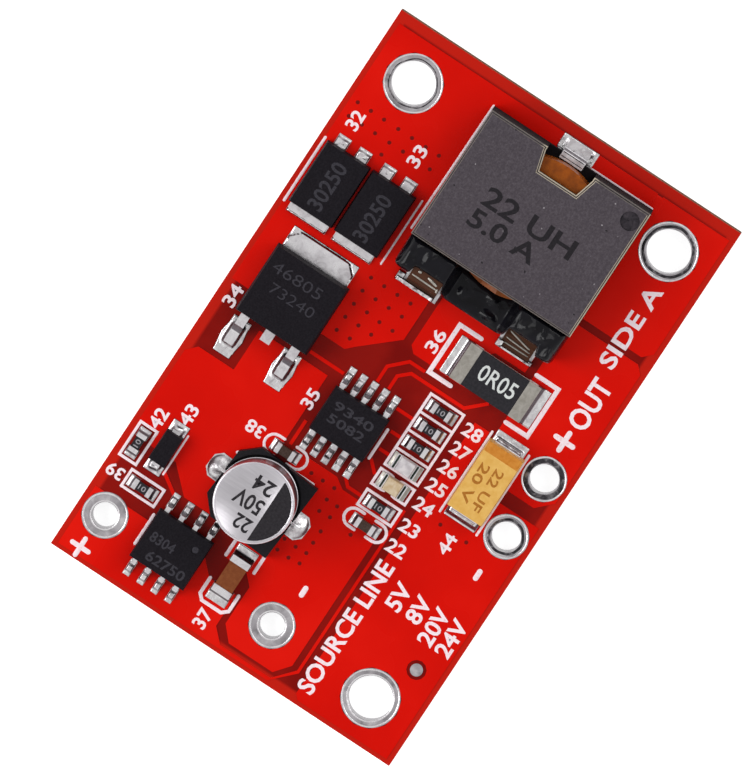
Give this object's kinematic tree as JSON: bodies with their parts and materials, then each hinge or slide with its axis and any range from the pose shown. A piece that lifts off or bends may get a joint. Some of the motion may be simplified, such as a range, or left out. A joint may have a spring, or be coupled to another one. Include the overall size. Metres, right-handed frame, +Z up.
{
  "type": "solar battery charger module",
  "caption": "Rectangular circuit board for charging a battery from a solar panel, with a broad flat-wire inductor, can capacitor, power transistor, rectifiers and plated wire and screw holes.",
  "frame": {"origin": "centre of the board's outline on its underside", "axes": "+X along the board's long side towards the inductor, +Y across it towards the rectifiers, +Z up out of the component side"},
  "size_m": [0.049, 0.031, 0.0071],
  "materials": {
    "red_board": "satin solder mask over glass laminate",
    "red_mask": "satin solder mask over copper",
    "solder": "bright reflowed solder",
    "tin": "bright tin plating",
    "black_epoxy": "matt moulded epoxy",
    "ferrite": "matt dark grey pressed ferrite",
    "enamelled_copper": "clear enamel over copper",
    "glossy_black": "glossy black",
    "can_aluminium": "bright drawn",
    "bung_rubber": "matt",
    "black_plastic": "satin",
    "white_ceramic": "matt",
    "resistor_coat": "satin overglaze",
    "yellow_epoxy": "satin moulded epoxy",
    "brown_ceramic": "satin",
    "lamp_board": "satin",
    "amber_lens": "cast, glossy",
    "clear_lens": "cast, glossy"
  },
  "bodies": {
    "root": {"amber_lamp_base": "lamp_board", "amber_lamp_ends": "tin", "amber_lamp_lens": "amber_lens", "capacitor_base": "black_plastic", "capacitor_bung": "bung_rubber", "capacitor_can": "can_aluminium", "capacitor_minus_strap": "tin", "capacitor_plus_strap": "tin", "chip_capacitor_1": "brown_ceramic", "chip_capacitor_2": "brown_ceramic", "chip_capacitor_3": "brown_ceramic", "chip_end_cups": "tin", "chip_resistor_1": "resistor_coat", "chip_resistor_2": "resistor_coat", "chip_resistor_3": "resistor_coat", "chip_resistor_4": "resistor_coat", "chip_resistor_5": "resistor_coat", "chip_resistor_6": "resistor_coat", "circuit_board": "red_board", "clear_lamp_base": "lamp_board", "clear_lamp_ends": "tin", "clear_lamp_lens": "clear_lens", "controller_body": "black_epoxy", "controller_leads": "tin", "copper_pattern": "red_mask", "diode_body": "black_epoxy", "diode_leads": "tin", "inductor_clip": "tin", "inductor_coil": "enamelled_copper", "inductor_header": "glossy_black", "inductor_lower_core": "ferrite", "inductor_upper_core": "ferrite", "input_minus_ring": "tin", "input_plus_ring": "tin", "mounting_ring_1": "tin", "mounting_ring_2": "tin", "mounting_ring_3": "tin", "output_minus_ring": "tin", "output_plus_ring": "tin", "rectifier_1_body": "black_epoxy", "rectifier_1_leads": "tin", "rectifier_1_tab": "tin", "rectifier_2_body": "black_epoxy", "rectifier_2_leads": "tin", "rectifier_2_tab": "tin", "shunt_coat": "resistor_coat", "shunt_ends": "tin", "shunt_slab": "white_ceramic", "solder_lands": "solder", "switch_body": "black_epoxy", "switch_leads": "tin", "tantalum_body": "yellow_epoxy", "tantalum_straps": "tin", "test_pad": "tin", "transistor_body": "black_epoxy", "transistor_leads": "tin", "transistor_tab": "tin"}
  },
  "joints": []
}
